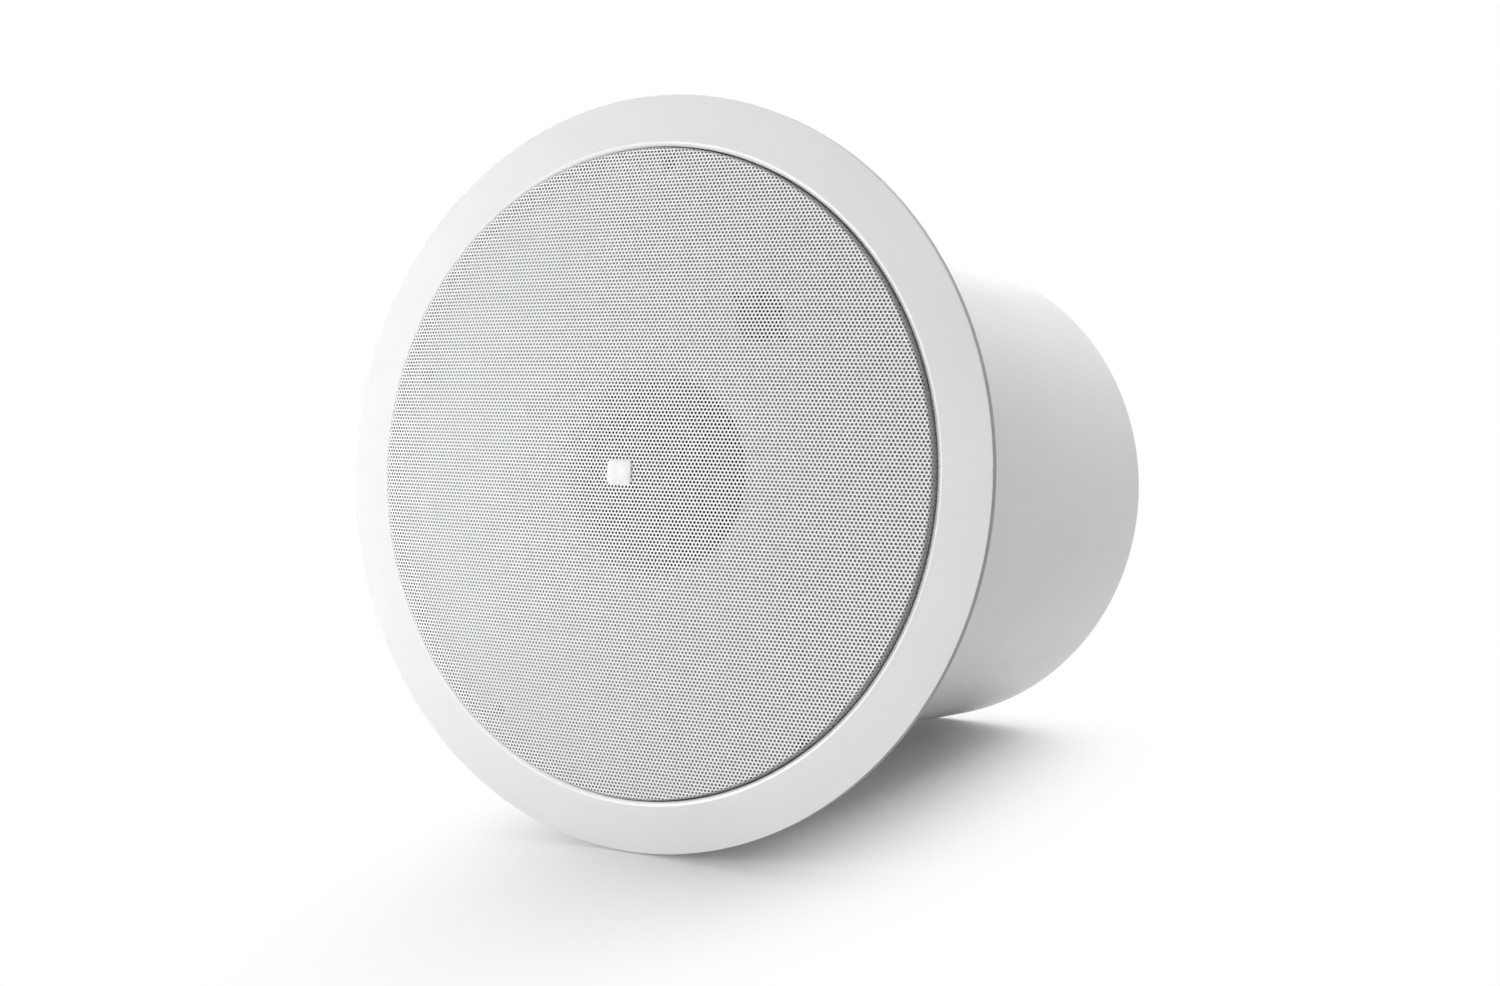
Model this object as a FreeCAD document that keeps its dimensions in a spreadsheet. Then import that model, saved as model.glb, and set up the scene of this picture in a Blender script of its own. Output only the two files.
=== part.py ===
"""In-ceiling band-pass subwoofer, in millimetres, as it hangs in a ceiling.

The origin is on the axis, where the bezel meets the ceiling. +Z goes up into the ceiling, so the
grille faces -Z. One of the five clamps stands on +Y.
"""
import FreeCAD, Part
import math
import os

import Sketcher

SIZES = {
    # back can, which the rest of the unit is built round
    "can_radius": 147.4,
    "can_wall": 1.2,
    "can_top": 325.5,
    "can_edge": 3.0,
    # moulded baffle with its bezel
    "rim_height": 3.6,
    "lip_rise": 3.7,
    "lip_margin": 1.2,
    "lip_bevel_width": 2.0,
    "lip_bevel_depth": 1.0,
    "cup_wall": 3.2,
    "seat_step": 3.9,
    "seat_width": 19.5,
    "seat_relief": 1.5,
    "baffle_face": 6.0,
    "baffle_wall": 3.5,
    "rib_thickness": 3.0,
    "rib_height": 12.0,
    "spigot_wall": 3.4,
    "spigot_height": 26.5,
    # flared port
    "throat_radius": 49.5,
    "flare_spread": 11.5,
    "socket_step": 2.5,
    "socket_depth": 12.0,
    "collar_wall": 3.0,
    "tube_wall": 3.0,
    "tube_length": 121.7,
    "tube_bell": 10.0,
    "tube_bell_spread": 7.0,
    # grille and its badge
    "grille_gap": 1.0,
    "grille_sheet": 1.0,
    "grille_hem_height": 3.0,
    "roll_width": 3.0,
    "roll_height": 3.6,
    "dome_sag": 15.2,
    "hole_pitch": 27.0,
    "hole_across": 14.0,
    "badge_width": 14.0,
    "badge_height": 12.0,
    "badge_thickness": 0.8,
    # ceiling clamps
    "tower_gap": 3.4,
    "tower_wall": 2.6,
    "tower_width": 24.0,
    "tower_height": 46.0,
    "clamp_boss_radius": 8.0,
    "clamp_boss_height": 5.5,
    "clamp_recess_radius": 4.7,
    "clamp_screw_radius": 2.5,
    "clamp_screw_length": 56.3,
    "clamp_head_radius": 4.2,
    "clamp_head": 3.0,
    "hub_clearance": 0.6,
    "arm_lift": 15.0,
    "arm_hub_radius": 7.0,
    "arm_hub_height": 12.0,
    "arm_width": 10.0,
    "arm_reach": 40.0,
    "arm_tip": 4.0,
    "arm_foot_drop": 6.0,
    "arm_foot_length": 11.0,
    # power tap selector
    "tap_stand_off": 39.0,
    "tap_recess_radius": 14.0,
    "tap_recess": 1.5,
    "knob_radius": 13.0,
    "knob_disc": 3.0,
    "knob_bar": 5.0,
    "knob_bar_width": 4.6,
    "knob_bar_length": 23.0,
    "stem_radius": 3.0,
    "stem_length": 14.8,
    "switch_flange": 2.0,
    "switch_flange_length": 44.0,
    "switch_flange_width": 14.0,
    "switch_radius": 13.0,
    "switch_height": 16.0,
    # partition and driver
    "partition_level": 170.0,
    "partition_board": 15.0,
    "hole_margin": 1.0,
    "cone_radius": 73.0,
    "cone_depth": 36.0,
    "cone_paper": 1.4,
    "cap_margin": 5.3,
    "surround_lap": 3.5,
    "surround_width": 19.0,
    "surround_sheet": 1.2,
    "flange_lap": 8.0,
    "flange_land": 11.5,
    "flange_sheet": 2.5,
    "basket_shoulder": 4.2,
    "basket_neck": 52.4,
    "basket_depth": 55.0,
    "basket_sheet": 2.2,
    "window_width": 34.0,
    "window_low": 8.0,
    "window_high": 36.0,
    "pole_radius": 18.6,
    "pole_vent": 8.0,
    "coil_gap": 0.6,
    "coil_wall": 1.5,
    "coil_overhang": 4.0,
    "spider_cloth": 1.2,
    "spider_drop": 7.0,
    "plate_gap": 0.8,
    "plate_radius": 60.0,
    "plate_thickness": 8.0,
    "opening_margin": 2.5,
    "magnet_margin": 8.5,
    "magnet_radius": 70.0,
    "magnet_height": 22.0,
    "yoke_radius": 62.0,
    "yoke_plate": 8.0,
    # line transformer
    "transformer_inset": 36.0,
    "core_width": 66.0,
    "core_height": 55.0,
    "core_stack": 32.0,
    "core_leg": 11.0,
    "winding_bulge": 11.0,
    "strap_sheet": 1.5,
    "strap_width": 24.0,
    "strap_foot": 15.0,
    # wiring terminal and tie-off on the can's end
    "terminal_inset": 62.4,
    "terminal_length": 28.0,
    "terminal_width": 14.0,
    "terminal_inside": 8.0,
    "terminal_outside": 14.0,
    "terminal_flange": 4.0,
    "terminal_sheet": 2.0,
    "terminal_pitch": 6.6,
    "terminal_well": 2.0,
    "terminal_well_depth": 4.0,
    "cover_length": 64.0,
    "cover_width": 46.0,
    "cover_height": 28.0,
    "cover_sheet": 1.2,
    "cover_foot": 10.0,
    "bush_radius": 10.0,
    "bush_bore": 7.0,
    "bush_collar_step": 3.0,
    "bush_collar": 4.0,
    "tie_inset": 35.4,
    "tie_width": 24.0,
    "tie_height": 24.0,
    "tie_sheet": 2.0,
    "tie_hole": 5.5,
    # room left between pieces that fit into one another
    "fit": 0.3,
}
CLAMPS = 5
CLAMP_START = 18
# the folded arms lean in from the rim by this angle
ARM_LEAN = 8
TAP_ANGLE = 126
TRANSFORMER_ANGLE = 270
TERMINAL_ANGLE = 90
TIE_ANGLE = 198
RIBS = 5
BASKET_WINDOWS = 6

doc = FreeCAD.newDocument("subwoofer")
sheet = doc.addObject("Spreadsheet::Sheet", "sizes")
for row, (alias, size) in enumerate(SIZES.items(), 1):
    sheet.set(f"A{row}", alias)
    sheet.set(f"B{row}", str(size))
    sheet.setAlias(f"B{row}", alias)
doc.recompute()

UP = FreeCAD.Vector(0, 0, 1)
nodes = []


def number(words):
    """The value of a sum of sheet names, such as "can_radius - can_wall", or of parts of them, as "fit/2"."""
    total, sign = 0.0, 1
    for word in words.split():
        if word in ("+", "-"):
            sign = 1 if word == "+" else -1
        elif word != "0":
            alias, _, divisor = word.partition("/")
            total += sign * SIZES[alias] / float(divisor or 1)
    return total


def minus(words):
    """The sum with every sign turned over, for the far side of a symmetrical outline."""
    swapped = [{"+": "-", "-": "+"}.get(word, word) for word in words.split()]
    return " ".join(swapped) if words.startswith(("+", "-")) else "- " + " ".join(swapped)


def bound(words):
    """The same sum as an expression on the sheet."""
    return " ".join(word if word in ("+", "-", "0") else "sizes." + word for word in words.split())


def pin(sketch, place, across, words):
    """Hold one coordinate of a sketch point to a sum of sheet names."""
    if words == "0":
        sketch.addConstraint(Sketcher.Constraint("PointOnObject", *place, -2 if across else -1))
        return
    kind = "DistanceX" if across else "DistanceY"
    index = sketch.addConstraint(Sketcher.Constraint(kind, -1, 1, *place, number(words)))
    sketch.setExpression(f"Constraints[{index}]", bound(words))


def sketch_on(body, plane, level="0", turn=0):
    """An empty sketch on one of a body's origin planes, lifted to a level and turned about its normal."""
    sketch = body.newObject("Sketcher::SketchObject", "sketch")
    support = [feature for feature in body.Origin.OriginFeatures if feature.Role == plane][0]
    sketch.AttachmentSupport = [(support, "")]
    sketch.MapMode = "FlatFace"
    rotation = FreeCAD.Rotation(UP, turn)
    sketch.AttachmentOffset = FreeCAD.Placement(UP * number(level), rotation)
    sketch.setExpression("AttachmentOffset.Base.z", bound(level))
    return sketch


def arc_centre(start, stop, held, words):
    """The arc's centre, with one coordinate held and the other as far from both ends."""
    middle, chord = (start + stop) / 2, stop - start
    if held == "across":
        across = number(words)
        return FreeCAD.Vector(across, middle.y - chord.x * (across - middle.x) / chord.y, 0)
    up = number(words)
    return FreeCAD.Vector(middle.x - chord.y * (up - middle.y) / chord.x, up, 0)


def angle_of(vector):
    return math.atan2(vector.y, vector.x)


def outline(sketch, points):
    """Draw a closed outline. A point is (across, up), and an arc leaves it where it also says which
    coordinate of the arc's centre is held ("across" or "up"), at what, and whether it turns left (1) or
    right (-1)."""
    first = sketch.GeometryCount
    places = [FreeCAD.Vector(number(point[0]), number(point[1]), 0) for point in points]
    ends = []
    for index, point in enumerate(points):
        start, stop = places[index], places[(index + 1) % len(points)]
        if len(point) == 2:
            sketch.addGeometry(Part.LineSegment(start, stop))
            ends.append((1, 2))
            continue
        centre = arc_centre(start, stop, point[2], point[3])
        low, high = (start, stop) if point[4] > 0 else (stop, start)
        circle = Part.Circle(centre, UP, (start - centre).Length)
        arc = Part.ArcOfCircle(circle, angle_of(low - centre), angle_of(high - centre))
        edge = sketch.addGeometry(arc)
        pin(sketch, (edge, 3), point[2] == "across", point[3])
        ends.append((1, 2) if point[4] > 0 else (2, 1))
    for index, point in enumerate(points):
        after = (index + 1) % len(points)
        here, there = (first + index, ends[index][1]), (first + after, ends[after][0])
        sketch.addConstraint(Sketcher.Constraint("Coincident", *here, *there))
        pin(sketch, (first + index, ends[index][0]), True, point[0])
        pin(sketch, (first + index, ends[index][0]), False, point[1])


def circle(sketch, across, up, radius):
    """Draw a circle about a point in the sketch."""
    middle = FreeCAD.Vector(number(across), number(up), 0)
    edge = sketch.addGeometry(Part.Circle(middle, UP, number(radius)))
    pin(sketch, (edge, 3), True, across)
    pin(sketch, (edge, 3), False, up)
    index = sketch.addConstraint(Sketcher.Constraint("Radius", edge, number(radius)))
    sketch.setExpression(f"Constraints[{index}]", bound(radius))


def rectangle(sketch, left, right, low, high):
    """Draw a rectangle between four sums of sheet names."""
    outline(sketch, [(left, low), (right, low), (right, high), (left, high)])


def centred(sketch, across, up):
    """Draw a rectangle about the sketch's middle, from its two half lengths."""
    rectangle(sketch, minus(across), across, minus(up), up)


def new_body(label, angle=0, circle_radius=None, turn=0):
    """A body moved out to a circle round the unit's axis, facing outwards there or turned from that."""
    body = doc.addObject("PartDesign::Body", label)
    body.Label = label
    body.AllowCompound = True
    if circle_radius:
        out = FreeCAD.Rotation(UP, angle).multVec(FreeCAD.Vector(number(circle_radius), 0, 0))
        body.Placement = FreeCAD.Placement(out, FreeCAD.Rotation(UP, angle + turn))
        body.setExpression("Placement.Base.x", f"({bound(circle_radius)}) * cos({angle} deg)")
        body.setExpression("Placement.Base.y", f"({bound(circle_radius)}) * sin({angle} deg)")
    return body


def node(thing):
    """Keep an object as one of the unit's pieces."""
    nodes.append(thing)
    return thing


def pad(body, sketch, height):
    """Raise a sketch along its normal."""
    feature = body.newObject("PartDesign::Pad", "pad")
    feature.Profile = sketch
    feature.Length = number(height)
    feature.setExpression("Length", bound(height))
    return feature


def pocket(body, sketch, depth):
    """Cut a sketch into the body along its normal."""
    feature = body.newObject("PartDesign::Pocket", "pocket")
    feature.Profile = sketch
    feature.Reversed = True
    feature.Length = number(depth)
    feature.setExpression("Length", bound(depth))
    return feature


def around(body, features, count):
    """Repeat features evenly round the body's Z axis."""
    pattern = body.newObject("PartDesign::PolarPattern", "around")
    axis = [feature for feature in body.Origin.OriginFeatures if feature.Role == "Z_Axis"][0]
    pattern.Originals = features
    pattern.Axis = (axis, [""])
    pattern.Angle = 360
    pattern.Occurrences = count
    body.Tip = pattern


def turned(label, points, angle=0, circle_radius=None):
    """A piece turned about its Z axis from its half section, as (radius, height) points."""
    body = new_body(label, angle, circle_radius)
    sketch = sketch_on(body, "XZ_Plane")
    outline(sketch, points)
    feature = body.newObject("PartDesign::Revolution", "turned")
    feature.Profile = sketch
    feature.ReferenceAxis = (sketch, ["V_Axis"])
    feature.Angle = 360
    return body


def ring(label, inner, outer, low, high):
    """A plain ring between two radii and two heights."""
    return turned(label, [(inner, low), (outer, low), (outer, high), (inner, high)])


def raised(body, level, height, circles, turn=0):
    """Round bosses, as (across, up, radius), raised from a level."""
    sketch = sketch_on(body, "XY_Plane", level, turn)
    for place in circles:
        circle(sketch, *place)
    return pad(body, sketch, height)


def drilled(body, level, depth, circles, turn=0):
    """Round holes, as (across, up, radius), cut upwards from a level."""
    sketch = sketch_on(body, "XY_Plane", level, turn)
    for place in circles:
        circle(sketch, *place)
    return pocket(body, sketch, depth)


def cross_cylinder(body, kind, radius, length, start, level, turn=0):
    """A rod ("Additive") or hole ("Subtractive") that runs outwards along the radius."""
    feature = body.newObject(f"PartDesign::{kind}Cylinder", "cross")
    spin = FreeCAD.Rotation(UP, turn)
    out = spin.multVec(FreeCAD.Vector(number(start), 0, 0))
    rotation = spin * FreeCAD.Rotation(FreeCAD.Vector(0, 1, 0), 90)
    feature.Placement = FreeCAD.Placement(out + UP * number(level), rotation)
    for name, words in (("Radius", radius), ("Height", length), ("Placement.Base.z", level)):
        feature.setExpression(name, bound(words))
    feature.setExpression("Placement.Base.x", f"({bound(start)}) * cos({turn} deg)")
    feature.setExpression("Placement.Base.y", f"({bound(start)}) * sin({turn} deg)")
    return feature


# The baffle is moulded in one piece with its bezel: a coned ring that covers the ceiling's edge, a cup for
# the grille, a flared port mouth with a socket for the tube, and a spigot that the can slides over. The
# clamps stand on a circle just outside the can, and the cup's wall goes round them.
REAR = "baffle_face + baffle_wall"
CAN_INNER = "can_radius - can_wall"
SPIGOT = CAN_INNER + " - fit"
TOWER_BACK = "can_radius + tower_gap"
TOWER_FACE = TOWER_BACK + " + tower_wall"
CLAMP_CIRCLE = TOWER_FACE + " + hub_clearance + arm_hub_radius"
LIP = CLAMP_CIRCLE + " + clamp_recess_radius + lip_margin"
CUP = LIP + " + cup_wall"
SEAT = CUP + " + seat_step"
BEZEL = SEAT + " + seat_width"
FLARE = "throat_radius + flare_spread"
SOCKET = "throat_radius + tube_wall + fit"
SOCKET_FLOOR = "baffle_face + flare_spread + socket_step"
COLLAR_TOP = SOCKET_FLOOR + " + socket_depth"
TAP_CIRCLE = FLARE + " + tap_stand_off"
baffle = node(turned("baffle", [
    (BEZEL, "- rim_height"),
    (BEZEL, "0"),
    (SEAT, "0"),
    (SEAT, "- seat_relief"),
    (CUP, "- seat_relief"),
    (CUP, REAR),
    (SPIGOT, REAR),
    (SPIGOT, REAR + " + spigot_height"),
    (SPIGOT + " - spigot_wall", REAR + " + spigot_height"),
    (SPIGOT + " - spigot_wall", REAR),
    (SOCKET + " + collar_wall", REAR),
    (SOCKET + " + collar_wall", COLLAR_TOP),
    (SOCKET, COLLAR_TOP),
    (SOCKET, SOCKET_FLOOR),
    ("throat_radius", SOCKET_FLOOR),
    ("throat_radius", "baffle_face + flare_spread", "across", FLARE, 1),
    (FLARE, "baffle_face"),
    (LIP, "baffle_face"),
    (LIP, "lip_bevel_depth - rim_height - lip_rise"),
    (LIP + " + lip_bevel_width", "- rim_height - lip_rise"),
]))
ribs = sketch_on(baffle, "XY_Plane", REAR)
rectangle(ribs, SOCKET + " + fit", SPIGOT + " - fit", "- rib_thickness/2", "rib_thickness/2")
around(baffle, [pad(baffle, ribs, "rib_height")], RIBS)
boss = raised(baffle, REAR, "clamp_boss_height", [(CLAMP_CIRCLE, "0", "clamp_boss_radius")], CLAMP_START)
tower = sketch_on(baffle, "XY_Plane", REAR, CLAMP_START)
rectangle(tower, TOWER_BACK, TOWER_FACE, "- tower_width/2", "tower_width/2")
around(baffle, [boss, pad(baffle, tower, "tower_height")], CLAMPS)
recess = drilled(baffle, "baffle_face", "clamp_boss_height",
                 [(CLAMP_CIRCLE, "0", "clamp_recess_radius")], CLAMP_START)
screw_hole = drilled(baffle, "baffle_face", "baffle_wall + clamp_boss_height",
                     [(CLAMP_CIRCLE, "0", "clamp_screw_radius + fit")], CLAMP_START)
around(baffle, [recess, screw_hole], CLAMPS)
drilled(baffle, "baffle_face", "tap_recess", [(TAP_CIRCLE, "0", "tap_recess_radius")], TAP_ANGLE)
drilled(baffle, "baffle_face", "baffle_wall", [(TAP_CIRCLE, "0", "stem_radius + fit")], TAP_ANGLE)

# The grille is a domed steel sheet with a rolled edge. Its skirt pushes into the cup and ends in a hem. Each
# of its two faces is a ball, cut off by a turned rim, and the sheet is what lies between them.
GRILLE = LIP + " - grille_gap"
GRILLE_EDGE = GRILLE + " - roll_width"
GRILLE_FOOT = "baffle_face - fit"
SKIRT = "- rim_height - lip_rise"
CROWN = SKIRT + " - roll_height - dome_sag"
DOME_RADIUS = f"((({bound(GRILLE_EDGE)}) ^ 2 + sizes.dome_sag ^ 2) / sizes.dome_sag / 2)"


def dome(name, inset, rim):
    """A ball's lower cap, its axis laid along Y, inside a turned rim."""
    ball = doc.addObject("Part::Sphere", name + "_ball")
    ball.Placement = FreeCAD.Placement(FreeCAD.Vector(), FreeCAD.Rotation(FreeCAD.Vector(1, 0, 0), 90))
    ball.setExpression("Radius", f"{DOME_RADIUS} - {inset}")
    ball.setExpression("Placement.Base.z", f"{DOME_RADIUS} + {bound(CROWN)}")
    cap = doc.addObject("Part::Common", name + "_cap")
    cap.Base = ball
    cap.Tool = turned(name + "_rim", rim)
    return cap


# the rolled edge's slope runs on below the dome, where the ball cuts it
ROLL_FOOT = (GRILLE_EDGE + " - roll_width", SKIRT + " - roll_height - roll_height")
outer_dome = dome("outer", "0", [
    ("0", CROWN + " - fit"),
    (ROLL_FOOT[0], CROWN + " - fit"),
    ROLL_FOOT,
    (GRILLE, SKIRT),
    (GRILLE, GRILLE_FOOT + " - grille_hem_height"),
    (LIP + " - fit", GRILLE_FOOT + " - grille_hem_height"),
    (LIP + " - fit", GRILLE_FOOT),
    ("0", GRILLE_FOOT),
])
INNER_ROLL = (ROLL_FOOT[0] + " - grille_sheet", ROLL_FOOT[1] + " + grille_sheet/4")
inner_dome = dome("inner", "sizes.grille_sheet", [
    ("0", CROWN),
    (INNER_ROLL[0], CROWN),
    INNER_ROLL,
    (GRILLE + " - grille_sheet", SKIRT + " + grille_sheet/4"),
    (GRILLE + " - grille_sheet", "baffle_face"),
    ("0", "baffle_face"),
])
sheet_metal = doc.addObject("Part::Cut", "grille_sheet_metal")
sheet_metal.Base = outer_dome
sheet_metal.Tool = inner_dome


def perforation(column, line):
    """One six-sided hole, its sides facing its neighbours in staggered rows."""
    hole = doc.addObject("Part::Prism", "perforation")
    hole.Polygon = 6
    hole.Placement = FreeCAD.Placement(FreeCAD.Vector(), FreeCAD.Rotation(UP, 30))
    hole.setExpression("Circumradius", "sizes.hole_across / sqrt(3)")
    hole.setExpression("Height", bound(minus(CROWN)))
    hole.setExpression("Placement.Base.x", f"{column} * sizes.hole_pitch")
    hole.setExpression("Placement.Base.y", f"{line} * sizes.hole_pitch * sqrt(3) / 2")
    hole.setExpression("Placement.Base.z", bound(CROWN + " - fit"))
    return hole


# the holes fill the dome as far as its rolled edge, and leave out the one under the badge
field = number(GRILLE_EDGE + " - hole_across") / number("hole_pitch")
rows = range(-math.ceil(field) - 1, math.ceil(field) + 2)
lattice = [(step + (line % 2) / 2, line) for line in rows for step in rows]
holes = [
    perforation(column, line)
    for column, line in lattice
    if 0 < math.hypot(column, line * math.sqrt(3) / 2) < field
]
punch = doc.addObject("Part::Compound", "punch")
punch.Links = holes
grille = node(doc.addObject("Part::Cut", "grille"))
grille.Base = sheet_metal
grille.Tool = punch

# A small plain plate is bonded to the middle of the grille.
badge = node(doc.addObject("Part::Box", "grille_badge"))
for name, words in (
    ("Length", "badge_width"),
    ("Width", "badge_height"),
    ("Height", "badge_thickness"),
    ("Placement.Base.x", "- badge_width/2"),
    ("Placement.Base.y", "- badge_height/2"),
    ("Placement.Base.z", CROWN + " - badge_thickness"),
):
    badge.setExpression(name, bound(words))

# The can is a drawn steel cup that slides over the spigot, with an opening for the terminal in its end.
CAN_CEILING = "can_top - can_wall"
CAN_FOOT = REAR + " + fit"
can = node(turned("back_can", [
    ("can_radius", CAN_FOOT),
    ("can_radius", "can_top - can_edge"),
    ("can_radius - can_edge", "can_top"),
    ("0", "can_top"),
    ("0", CAN_CEILING),
    (CAN_INNER + " - can_edge", CAN_CEILING),
    (CAN_INNER, CAN_CEILING + " - can_edge"),
    (CAN_INNER, CAN_FOOT),
]))
TERMINAL_PLACE = "can_radius - terminal_inset"
slot = sketch_on(can, "XY_Plane", CAN_CEILING, TERMINAL_ANGLE)
rectangle(slot, TERMINAL_PLACE + " - terminal_width/2 - fit", TERMINAL_PLACE + " + terminal_width/2 + fit",
          "- terminal_length/2 - fit", "terminal_length/2 + fit")
pocket(can, slot, "can_wall")

# The port's tube sits in the baffle's socket and opens into a bell inside the front chamber.
TUBE_OUTER = "throat_radius + tube_wall"
TUBE_END = SOCKET_FLOOR + " + fit + tube_length"
node(turned("port_tube", [
    ("throat_radius", SOCKET_FLOOR + " + fit"),
    (TUBE_OUTER, SOCKET_FLOOR + " + fit"),
    (TUBE_OUTER, TUBE_END + " - tube_bell"),
    (TUBE_OUTER + " + tube_bell_spread", TUBE_END),
    ("throat_radius + tube_bell_spread", TUBE_END),
    ("throat_radius", TUBE_END + " - tube_bell"),
]))

# Each clamp is a screw in a recess of the baffle and an arm with a threaded hub on it. The arms lie folded
# along the rim until the screws swing them out over the ceiling board.
HEAD_TOP = "baffle_face + clamp_boss_height - fit"
SCREW_END = HEAD_TOP + " + clamp_screw_length"
ARM_LEVEL = REAR + " + clamp_boss_height + arm_lift"
for count in range(CLAMPS):
    angle = CLAMP_START + count * 360 // CLAMPS
    node(turned(f"clamp_screw_{count + 1}", [
        ("0", HEAD_TOP + " - clamp_head"),
        ("clamp_head_radius", HEAD_TOP + " - clamp_head"),
        ("clamp_head_radius", HEAD_TOP),
        ("clamp_screw_radius", HEAD_TOP),
        ("clamp_screw_radius", SCREW_END),
        ("0", SCREW_END),
    ], angle, CLAMP_CIRCLE))
    arm = node(new_body(f"clamp_arm_{count + 1}", angle, CLAMP_CIRCLE, -ARM_LEAN))
    side = sketch_on(arm, "YZ_Plane", "- arm_width/2")
    outline(side, [
        ("0", ARM_LEVEL),
        ("0", ARM_LEVEL + " + arm_hub_height"),
        ("- arm_reach", ARM_LEVEL + " + arm_tip"),
        ("- arm_reach", ARM_LEVEL + " - arm_foot_drop"),
        ("- arm_reach + arm_foot_length", ARM_LEVEL + " - arm_foot_drop"),
        ("- arm_reach + arm_foot_length", ARM_LEVEL),
    ])
    pad(arm, side, "arm_width")
    raised(arm, ARM_LEVEL, "arm_hub_height", [("0", "0", "arm_hub_radius")])
    drilled(arm, ARM_LEVEL, "arm_hub_height", [("0", "0", "clamp_screw_radius + fit")])

# The power tap selector is a rotary switch behind the baffle, with its knob in a round recess in front.
KNOB_BACK = "baffle_face + tap_recess - fit"
knob = node(new_body("tap_knob", TAP_ANGLE, TAP_CIRCLE))
raised(knob, KNOB_BACK + " - knob_disc", "knob_disc", [("0", "0", "knob_radius")])
raised(knob, KNOB_BACK, "stem_length", [("0", "0", "stem_radius")])
bar = sketch_on(knob, "XY_Plane", KNOB_BACK + " - knob_disc - knob_bar", 90 - TAP_ANGLE)
centred(bar, "knob_bar_length/2", "knob_bar_width/2")
pad(knob, bar, "knob_bar")
switch = node(new_body("tap_switch", TAP_ANGLE, TAP_CIRCLE))
flange = sketch_on(switch, "XY_Plane", REAR)
centred(flange, "switch_flange_width/2", "switch_flange_length/2")
pad(switch, flange, "switch_flange")
raised(switch, REAR, "switch_height", [("0", "0", "switch_radius")])
drilled(switch, REAR, "tap_recess + stem_length - baffle_wall", [("0", "0", "stem_radius + fit")])

# A board parts the can into two chambers. The driver hangs on its upper face and plays down through it.
BOARD_TOP = "partition_level + partition_board"
SURROUND_OUTER = "cone_radius + surround_width"
BOARD_HOLE = SURROUND_OUTER + " + hole_margin"
node(ring("partition", BOARD_HOLE, CAN_INNER + " - fit", "partition_level", BOARD_TOP))
FLANGE_TOP = BOARD_TOP + " + flange_sheet"
FLANGE_INNER = SURROUND_OUTER + " - flange_lap"
FLANGE_OUTER = BOARD_HOLE + " + flange_land"
PLATE = BOARD_TOP + " + basket_depth"
COIL_INNER = "pole_radius + coil_gap"
COIL_OUTER = COIL_INNER + " + coil_wall"
PLATE_HOLE = COIL_OUTER + " + plate_gap"
NECK_TOP = PLATE + " - basket_sheet"
NECK_FOOT = NECK_TOP + " - spider_drop - spider_cloth"
basket = node(turned("driver_basket", [
    (FLANGE_INNER, BOARD_TOP),
    (FLANGE_OUTER, BOARD_TOP),
    (FLANGE_OUTER, FLANGE_TOP),
    (FLANGE_INNER + " + basket_shoulder", FLANGE_TOP),
    ("basket_neck", NECK_FOOT),
    ("basket_neck", PLATE),
    (PLATE_HOLE + " + opening_margin", PLATE),
    (PLATE_HOLE + " + opening_margin", NECK_TOP),
    ("basket_neck - basket_sheet", NECK_TOP),
    ("basket_neck - basket_sheet", NECK_FOOT),
    (FLANGE_INNER, FLANGE_TOP + " + basket_sheet"),
]))
window = basket.newObject("PartDesign::SubtractiveBox", "window")
for name, words in (
    ("Length", FLANGE_OUTER + " - basket_neck"),
    ("Width", "window_width"),
    ("Height", "window_high - window_low"),
    ("Placement.Base.x", "basket_neck"),
    ("Placement.Base.y", "- window_width/2"),
    ("Placement.Base.z", BOARD_TOP + " + window_low"),
):
    window.setExpression(name, bound(words))
around(basket, [window], BASKET_WINDOWS)

# The cone is a paper funnel with a flat cap. A soft ring at its edge and a cloth spider at its neck carry it,
# and its coil stands in the motor's gap.
CONE_NECK = BOARD_TOP + " + cone_depth"
CAP_TOP = CONE_NECK + " + cone_paper"
CAP_RADIUS = COIL_OUTER + " + cap_margin"
node(turned("cone", [
    ("cone_radius", BOARD_TOP),
    ("cone_radius", BOARD_TOP + " + cone_paper"),
    (CAP_RADIUS, CAP_TOP),
    ("0", CAP_TOP),
    ("0", CONE_NECK),
    (CAP_RADIUS, CONE_NECK),
]))
SURROUND_FOOT = BOARD_TOP + " - surround_sheet"
node(ring("surround", "cone_radius - surround_lap", SURROUND_OUTER, SURROUND_FOOT, BOARD_TOP))
PLATE_TOP = PLATE + " + plate_thickness"
MAGNET_TOP = PLATE_TOP + " + magnet_height"
node(ring("voice_coil", COIL_INNER, COIL_OUTER, CAP_TOP + " + fit", PLATE_TOP + " + coil_overhang"))
SPIDER_TOP = NECK_FOOT + " + spider_cloth"
node(ring("spider", COIL_OUTER + " + fit", "basket_neck - basket_sheet", NECK_FOOT, SPIDER_TOP))
node(ring("top_plate", PLATE_HOLE, "plate_radius", PLATE, PLATE_TOP))
node(ring("magnet", PLATE_HOLE + " + magnet_margin", "magnet_radius", PLATE_TOP, MAGNET_TOP))
node(turned("yoke", [
    ("pole_vent", PLATE),
    ("pole_radius", PLATE),
    ("pole_radius", MAGNET_TOP),
    ("yoke_radius", MAGNET_TOP),
    ("yoke_radius", MAGNET_TOP + " + yoke_plate"),
    ("pole_vent", MAGNET_TOP + " + yoke_plate"),
]))

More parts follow.
